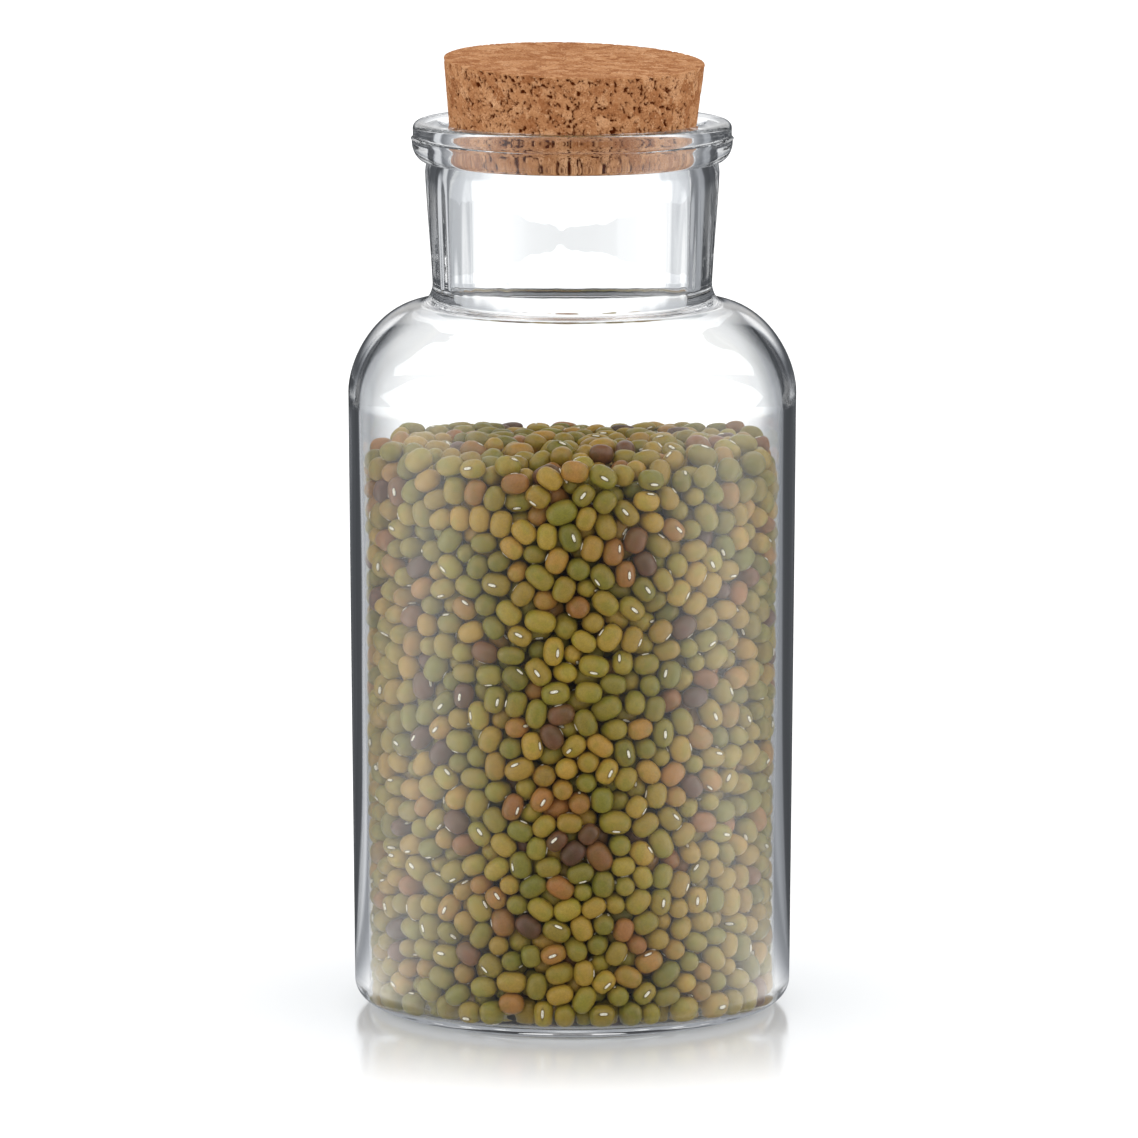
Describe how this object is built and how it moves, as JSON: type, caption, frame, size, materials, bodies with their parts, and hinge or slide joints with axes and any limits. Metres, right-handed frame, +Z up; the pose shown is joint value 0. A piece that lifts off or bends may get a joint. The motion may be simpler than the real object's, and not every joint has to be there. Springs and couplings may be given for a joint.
{
  "type": "spice jar",
  "caption": "Clear glass spice jar with a rounded shoulder, short neck and beaded lip, closed by a tapered cork and filled with dried mung beans.",
  "frame": {"origin": "centre of the circle that the jar stands on, in the plane of the surface under it", "axes": "+Z up along the jar's axis, towards the stopper; -Y faces the picture's camera"},
  "size_m": [0.083, 0.083, 0.1781],
  "materials": {
    "clear_glass": "clear, smooth, very slightly wavy",
    "cork": "agglomerated cork, matt and granular with small pits",
    "beans": "dried mung beans, satin skins in olive green, yellow green and brown"
  },
  "bodies": {
    "jar": {"glass_jar": "clear_glass", "bean_fill": "beans"},
    "stopper": {"cork_stopper": "cork"}
  },
  "joints": [
    {"name": "stopper_pull", "type": "slide", "parent": "jar", "child": "stopper", "axis": [0, 0, 1], "range_m": [0, 0.03]}
  ]
}
